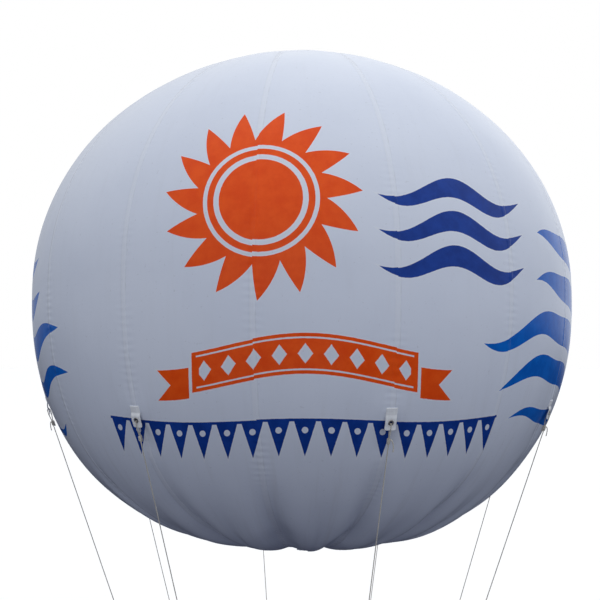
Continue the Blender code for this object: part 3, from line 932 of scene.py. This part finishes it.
def build_eye(steel):
    """Forged ring grown into its collar."""
    top = PLATE_BOTTOM - SWIVEL_GAP
    middle = top - 0.016 - 0.012
    turns = [tau * i / 28 for i in range(28)]
    bar = [(EYE_RADIUS + 0.0054 * cos(turn), 0.0045 * sin(turn)) for turn in turns]
    ring = turned("ring", bar, 96, closed=True)
    ring.transform(Matrix.Translation((0, 0, middle)) @ Matrix.Rotation(pi / 2, 4, "X"))
    profile = [(0, top), (0.0104, top), (0.0115, top - 0.0011), (0.0115, top - 0.01)]
    profile += [(0.0108, top - 0.0122), (0.0088, top - 0.0155), (0.0072, top - 0.0185)]
    collar = turned("collar", profile + [(0, top - 0.0185)], 64)
    eye = add_piece("swivel_eye", joined([ring, collar]))
    add_modifier(eye, "REMESH", mode="VOXEL", voxel_size=0.0006, use_smooth_shade=True)
    add_modifier(eye, "SMOOTH", iterations=7)
    paint(applied(eye), steel)
    finish_piece(eye, ["tether_eye"], "tether_swivel")


# Finishes


def new_finish(name, **values):
    """A material with its shader's fixed values, and the place of each of its points."""
    material = bpy.data.materials.new(name)
    material.use_nodes = True
    for key, value in values.items():
        feed(value, shader_of(material).inputs[key.replace("_", " ")])
    return material, material.node_tree.nodes.new("ShaderNodeTexCoord").outputs["Object"]


def shader_of(material):
    return material.node_tree.nodes["Principled BSDF"]


def finished(material, colour, rough, height):
    """The material with its colour, its roughness and a fine relief in metres."""
    inputs = shader_of(material).inputs
    feed(colour, inputs["Base Color"])
    feed(rough, inputs["Roughness"])
    bump = add_node(material.node_tree, "ShaderNodeBump", {"Height": height, "Distance": 1})
    feed(bump.outputs[0], inputs["Normal"])
    return material


def attribute(tree, name):
    return Amount(add_node(tree, "ShaderNodeAttribute", attribute_name=name).outputs["Fac"])


def around_axis(place):
    """Azimuth, distance from the axis, and height."""
    x, y, z = parts_of(place)
    return x.math("ARCTAN2", -y), (x * x + y * y).root(), z


# The print, on both faces: signed distances in metres, less than 0 inside a shape


def sunburst(x, z):
    """Fifteen curved rays round a ring and a disc."""
    tips, feet, ring_radius, disc_radius = 0.425, 0.245, 0.213, 0.176
    x, z = x + 0.185, z - 0.275
    radius = (x * x + z * z).root()
    turn = z.math("ARCTAN2", x) * (15 / tau) + radius * 1.9
    tooth = abs(turn.wrapped(0.5)) * 2
    rays = (radius - tips + tooth * 0.15).most(feet - radius)
    ring = abs(radius - ring_radius) - 0.014
    return rays.least(ring).least(radius - disc_radius)


def ribbon(x, z):
    """A curved ribbon with forked ends, and the pale diamonds and lines on it."""
    half, end_half = 0.082, 0.064
    across = z + 0.405 - (x * 4.9).cos() * 0.045
    reach = abs(x)
    band = (abs(across) - half).most(reach - 0.475)
    low = across + 0.04
    fork = reach - 0.64 - (abs(low) - end_half)
    ends = (abs(low) - end_half).most(fork).most(0.489 - reach)
    diamonds = (abs(x.wrapped(0.0525)) / 0.031 + abs(across) / 0.041 - 1) * 0.018
    lines = (abs(abs(across) - 0.064) - 0.0034).most(reach - 0.455)
    return band.least(ends), diamonds.most(reach - 0.442).least(lines)


def ripples(x, z):
    """Three short waves, pointed at their ends."""
    middle = (x - 0.69) / 0.39
    across = z - 0.165 - (x * 12).sin() * 0.04
    taper = 0.046 * (1 - middle * middle)
    return (abs(across.wrapped(0.076)) - taper).most(abs(across) - 0.228)


def bunting(x, z):
    """A cord of small flags, each with a dot in it."""
    reach = abs(x)
    drop = -z - 0.64 + (x * 5.6).cos() * 0.01
    aside = abs(x.wrapped(0.0545))
    flag = (aside - 0.047 + drop * 0.3).most(-drop)
    dot = (aside * aside + (drop - 0.043) * (drop - 0.043)).root() - 0.0135
    cord = abs(drop) - 0.006
    return flag.most(-dot).least(cord).most(reach - 0.9265)


def swell_bands(x, z):
    """Broad waves on the sides, thinner towards the base."""
    middle = x / (0.95 + 0.41 * (z + 0.34).hill(0.23))
    across = z + 0.262 - (x * 5.9).sin() * 0.052 - (x * 12.4 + 1).sin() * 0.019
    thick = 0.036 + 0.04 * z.ramp(-0.75, -0.25)
    taper = thick * (1 - middle * middle * middle * middle)
    return (abs(across.wrapped(0.105)) - taper).most(abs(across) - 0.525)


def printed(place, azimuth, reach, height, base):
    """The film's colour with its printed shapes, and the share of ink."""
    gore = ((azimuth - FIRST_SEAM) / GORE_ANGLE).math("FLOOR")
    slip = (chance(gore, 7) - 0.5) * 0.005
    z = height + slip
    front = (azimuth - radians(0.6)).wrapped(pi / 2) * reach
    side = (azimuth - radians(83)).wrapped(pi / 2) * reach
    band, pale = ribbon(front, z)
    shapes = [
        (sunburst(front, z), ORANGE),
        (band.most(-pale), ORANGE),
        (ripples(front, z).least(bunting(front, z)), NAVY),
        (swell_bands(side, z), AZURE),
    ]
    wobble = (noise(place, 70) - 0.5) * 0.0024
    cover = noise(place, 16, 5, 0.65).ramp(0.3, 0.7)
    soft = 0.0011
    colour = base
    ink = None
    for distance, (thin, full) in shapes:
        edge = distance + wobble
        halo = 1 - (edge - 0.0055).ramp(-soft, soft)
        colour = mix(halo * 0.28, colour, (0.86, 0.87, 0.88))
        share = 1 - edge.ramp(-soft, soft)
        colour = mix(share, colour, mix(cover, thin, full))
        ink = share if ink is None else ink.most(share)
    return colour, ink


def film_base(place, azimuth, reach, height):
    """White film with clouds, darker streaks that grow stronger towards the base, specks, and dust
    beside the laps.
    """
    clouds = noise(place, 1.6, 5, 0.55)
    colour = mix(clouds.ramp(0.3, 0.7), (0.7, 0.745, 0.85), (0.738, 0.78, 0.878))
    along = vector(azimuth.cos() * 9, azimuth.sin() * 9, height * 0.8)
    streaks = noise(along, 3, 4, 0.6).ramp(0.5, 0.78)
    # Darker streaks, stronger towards the base
    low = (-height).ramp(0.1, 1.3)
    colour = mix(streaks * (0.05 + 0.13 * low), colour, (0.46, 0.46, 0.47))
    specks = noise(place, 62, 3, 0.6).ramp(0.665, 0.72)
    colour = mix(specks * 0.22, colour, (0.38, 0.39, 0.43))
    seam = seam_offset(azimuth)[0] * GORE_ANGLE * reach
    lap = 1 - (abs(seam) - LAP_HALF).ramp(-0.0008, 0.0012)
    dust = (seam - LAP_HALF - 0.001).hill(0.0022) * noise(place, 24, 3).ramp(0.3, 0.75)
    colour = mix(dust * 0.3, colour, (0.4, 0.39, 0.38))
    return mix(lap * 0.16, colour, (0.88, 0.89, 0.9)), lap, seam


def film_relief(place, reach, height, lap, seam):
    """Welding bars on the laps, puckers beside them, soft ripples and a fine grain."""
    bar, pucker = 0.0026, 0.034
    run = height.math("ARCTAN2", reach) * (RADIUS * tau / bar)
    bars = run.cos() * lap * 0.00006
    waver = noise(place, 5) * 9
    puckers = (run * (bar / pucker) + waver).cos() * (abs(seam) - LAP_HALF).most(0).hill(0.03)
    puckers = puckers * noise(place, 2.3).ramp(0.35, 0.7) * 0.00042
    soft_ripples = noise(place, 6.5, 3, 0.45) * 0.0016
    grain = noise(place, 330) * 0.00002
    return bars + puckers + soft_ripples + grain


def film_finish():
    """Printed film, a little smoother on the laps and the ink."""
    material, place = new_finish("printed_film", Specular_IOR_Level=0.14)
    azimuth, reach, height = around_axis(place)
    base, lap, seam = film_base(place, azimuth, reach, height)
    colour, ink = printed(place, azimuth, reach, height, base)
    rough = 0.15 + noise(place, 11, 3) * 0.12 - lap * 0.05 - ink * 0.03
    return finished(material, colour, rough, film_relief(place, reach, height, lap, seam))


def patch_finish():
    """Thicker, plain film, welded on in rings."""
    material, place = new_finish("patch_film", Specular_IOR_Level=0.42)
    azimuth, reach, _ = around_axis(place)
    clouds = noise(place, 9, 4).ramp(0.3, 0.7)
    colour = mix(clouds, (0.7, 0.735, 0.79), (0.775, 0.8, 0.84))
    rim = (reach - PATCH_WELD).hill(0.006)
    colour = mix(rim * 0.35, colour, (0.86, 0.87, 0.88))
    smudge = noise(place, 26, 4, 0.6).ramp(0.56, 0.76) * 0.25
    colour = mix(smudge, colour, (0.42, 0.42, 0.43))
    rough = 0.38 + noise(place, 40, 3) * 0.14 - rim * 0.08
    bars = (azimuth * 300).cos() * (reach - 0.122).ramp(0, 0.003) * 0.00005
    return finished(material, colour, rough, bars + noise(place, 14, 3) * 0.0012)


def sleeve_finish():
    """Softer, thinner film of the neck, with crumples where it is gathered."""
    material, place = new_finish("neck_film", Specular_IOR_Level=0.4)
    azimuth, _, height = around_axis(place)
    gathered = (height - NECK_SEAT + PINCH_DROP).hill(0.03)
    clouds = noise(place, 30, 4).ramp(0.3, 0.7)
    colour = mix(clouds, (0.7, 0.73, 0.775), (0.79, 0.81, 0.84))
    creases = noise(vector(azimuth * 7, height * 20), 3, 4, 0.6)
    # Darker in streaks along the crease pattern, most where the neck is gathered at the tie
    darkening = creases.ramp(0.52, 0.75) * (0.12 + gathered * 0.3)
    colour = mix(darkening, colour, (0.38, 0.37, 0.36))
    folds = creases * (0.0006 + gathered * 0.0012) + noise(place, 160) * 0.0001
    return finished(material, colour, 0.4 + creases * 0.15, folds)


def strap_finish():
    """Bright coated fabric: its threads show, dirt sits at the edges, rust by the eyelet."""
    material, place = new_finish("strap_film", Specular_IOR_Level=0.45)
    azimuth, _, height = around_axis(place)
    aside = (azimuth - FIRST_SEAM).wrapped(TAB_ANGLE / 2) * EYELET.x
    down = EYELET.y - height
    clouds = noise(place, 22, 4).ramp(0.3, 0.7)
    colour = mix(clouds, (0.84, 0.86, 0.885), (0.9, 0.91, 0.925))
    edge = (abs(aside) - STRAP_WIDTH / 2).hill(0.0022).most((down - EYELET_TO_END).hill(0.003))
    worn = noise(place, 75, 4, 0.6).ramp(0.42, 0.72)
    colour = mix(edge * worn * 0.5, colour, (0.42, 0.41, 0.4))
    off = (aside * aside + down * down).root() - EYELET_FLANGE
    rust = off.hill(0.0045) * noise(place, 130, 4, 0.65).ramp(0.4, 0.68)
    colour = mix(rust * 0.42, colour, (0.3, 0.2, 0.13))
    thread = tau / 0.0017
    weave = (aside * thread).cos() * (down * thread).cos() * 0.00004
    return finished(material, colour, 0.38 + worn * 0.16, weave + noise(place, 34, 3) * 0.0007)


# Painted shade colour between the strands, crest colour and soiled colour of each rope
ROPES = {
    "natural_rope": ((0.19, 0.165, 0.13), (0.7, 0.665, 0.59), (0.33, 0.3, 0.26)),
    "white_cord": ((0.3, 0.3, 0.3), (0.82, 0.82, 0.8), (0.47, 0.46, 0.44)),
}


def rope_finish(name):
    """Twisted fibre: painted shade between the strands, fuzzy and paler on their crests."""
    dark, light, soil = ROPES[name]
    material, place = new_finish(name, Sheen_Weight=0.25, Specular_IOR_Level=0.25)
    crest, run = (attribute(material.node_tree, key) for key in ("crest", "run"))
    yarns = noise(vector(run * 1300, crest * 4), 1, 3, 0.6)
    # Painted shade: the colour darkens from the crests into the grooves between the strands
    colour = mix(crest.ramp(-0.15, 0.85) * (0.7 + yarns * 0.45), dark, light)
    patches = noise(place, 7, 5, 0.6).ramp(0.48, 0.74)
    colour = mix(patches * 0.45, colour, soil)
    fibres = yarns * 0.00028 + noise(place, 900) * 0.00006
    return finished(material, colour, 0.72 + yarns * 0.2, fibres)


# Dark and light colour of each metal, its roughness, and how fine its clouds and spangle are
METALS = {
    "nickel_plate": ((0.3, 0.285, 0.26), (0.66, 0.63, 0.57), 0.2, 160, 700),
    "zinc_plate": ((0.4, 0.41, 0.42), (0.63, 0.64, 0.65), 0.3, 45, 230),
    "bright_steel": ((0.42, 0.41, 0.39), (0.7, 0.69, 0.66), 0.16, 120, 500),
    "dipped_zinc": ((0.34, 0.35, 0.36), (0.58, 0.59, 0.6), 0.36, 70, 150),
}


def metal_finish(name):
    """Plated steel: clouded, finely scratched, duller where it is handled or weathered."""
    dark, light, rough, grain, spangle = METALS[name]
    material, place = new_finish(name, Metallic=1)
    clouds = noise(place, grain, 5, 0.6)
    inputs = {"Vector": place, "Scale": spangle}
    cells = add_node(material.node_tree, "ShaderNodeTexVoronoi", inputs)
    flake = Amount(cells.outputs["Color"])
    colour = mix(clouds.ramp(0.3, 0.7) * 0.5 + flake * 0.5, dark, light)
    stains = noise(place, grain * 1.7, 6, 0.65).ramp(0.5, 0.72)
    colour = mix(stains * 0.55, colour, (0.2, 0.175, 0.15))
    x, y, z = parts_of(place)
    scratches = noise(vector(x * 60, y * 60, z * 900), 1, 4, 0.7)
    marks = scratches.ramp(0.6, 0.78)
    colour = mix(marks * 0.3, colour, (0.8, 0.8, 0.79))
    dull = rough + clouds * 0.18 + flake * 0.1 + stains * 0.25 - marks * 0.08
    return finished(material, colour, dull, clouds * 0.00025 + scratches * 0.00004)


def floor_finish():
    """Pale ground with a faint glow, so that its far parts stay as light as the sky."""
    glow = {"Emission_Color": (1, 0.98, 0.95), "Emission_Strength": 0.075}
    material, place = new_finish("pale_floor", Roughness=0.8, **glow)
    colour = mix(noise(place, 0.6, 3), (0.94, 0.93, 0.92), (0.96, 0.95, 0.94))
    feed(colour, shader_of(material).inputs["Base Color"])
    return material


# Light, floor and camera


def set_world():
    """Overcast sky, brighter above and to the right, which the camera sees as plain white."""
    world = bpy.data.worlds.new("overcast")
    bpy.context.scene.world = world
    world.use_nodes = True
    tree = world.node_tree
    tree.nodes.clear()
    x, y, z = parts_of(tree.nodes.new("ShaderNodeTexCoord").outputs["Generated"])
    front = (-y).ramp(-0.7, 0.9)
    back = mix(x.ramp(-0.6, 0.6), (0.31, 0.34, 0.41), (0.66, 0.7, 0.77))
    horizon = mix(front, back, (0.55, 0.595, 0.68))
    ground = mix(front, (0.018, 0.021, 0.038), (0.054, 0.061, 0.1))
    sky = mix(z.kept(0, 1), horizon, (1.2, 1.22, 1.24))
    colour = mix(z.ramp(-0.12, 0.05), ground, sky)
    strength = x.ramp(-1, 1).between(0.9, 1.13)
    lit = add_node(tree, "ShaderNodeBackground", {"Color": colour, "Strength": strength})
    seen = add_node(tree, "ShaderNodeBackground", {"Color": (1, 1, 1), "Strength": 1})
    path = tree.nodes.new("ShaderNodeLightPath")
    both = tree.nodes.new("ShaderNodeMixShader")
    sources = (path.outputs["Is Camera Ray"], lit.outputs[0], seen.outputs[0])
    for source, socket in zip(sources, both.inputs):
        feed(source, socket)
    feed(both.outputs[0], tree.nodes.new("ShaderNodeOutputWorld").inputs[0])
    bpy.context.scene.view_settings.view_transform = "Standard"


def set_lamp():
    """A wide, weak light from the front, a little below the level."""
    fill = bpy.data.lights.new("front_fill", "SUN")
    fill.energy = 0.2
    fill.angle = radians(60)
    lamp = add_piece("front_fill", fill)
    lamp.rotation_euler = (radians(101), 0, radians(-10))


def set_floor():
    mesh = bpy.data.meshes.new("floor")
    reach = FLOOR_REACH
    corners = [(-reach, -reach), (reach, -reach), (reach, reach), (-reach, reach)]
    mesh.from_pydata([(x, y, FLOOR_HEIGHT) for x, y in corners], [], [(0, 1, 2, 3)])
    floor = add_piece("floor", mesh)
    mesh.materials.append(floor_finish())
    floor.visible_diffuse = floor.visible_glossy = floor.visible_shadow = False


def set_camera():
    data = bpy.data.cameras.new("camera")
    data.sensor_width = SENSOR
    data.lens = CAMERA_FOCUS * SENSOR
    data.clip_end = 2 * FLOOR_REACH
    camera = add_piece("camera", data)
    camera.location = (0, -CAMERA_DISTANCE, CAMERA_HEIGHT)
    camera.rotation_euler = (pi / 2 + CAMERA_PITCH, 0, CAMERA_YAW)
    bpy.context.scene.camera = camera


def build():
    set_world()
    set_lamp()
    set_floor()
    set_camera()
    gores = build_gores(film_finish())
    build_patches(patch_finish())
    skin_at = film_finder(gores)
    strap = strap_finish()
    for number in STATIONS:
        build_strap(number, skin_at, strap)
    build_eyelets(metal_finish("nickel_plate"))
    build_lines(rope_finish("natural_rope"))
    build_neck(sleeve_finish())
    build_tie(rope_finish("white_cord"))
    build_plate(metal_finish("zinc_plate"))
    build_bolt(metal_finish("bright_steel"))
    build_eye(metal_finish("dipped_zinc"))


build()
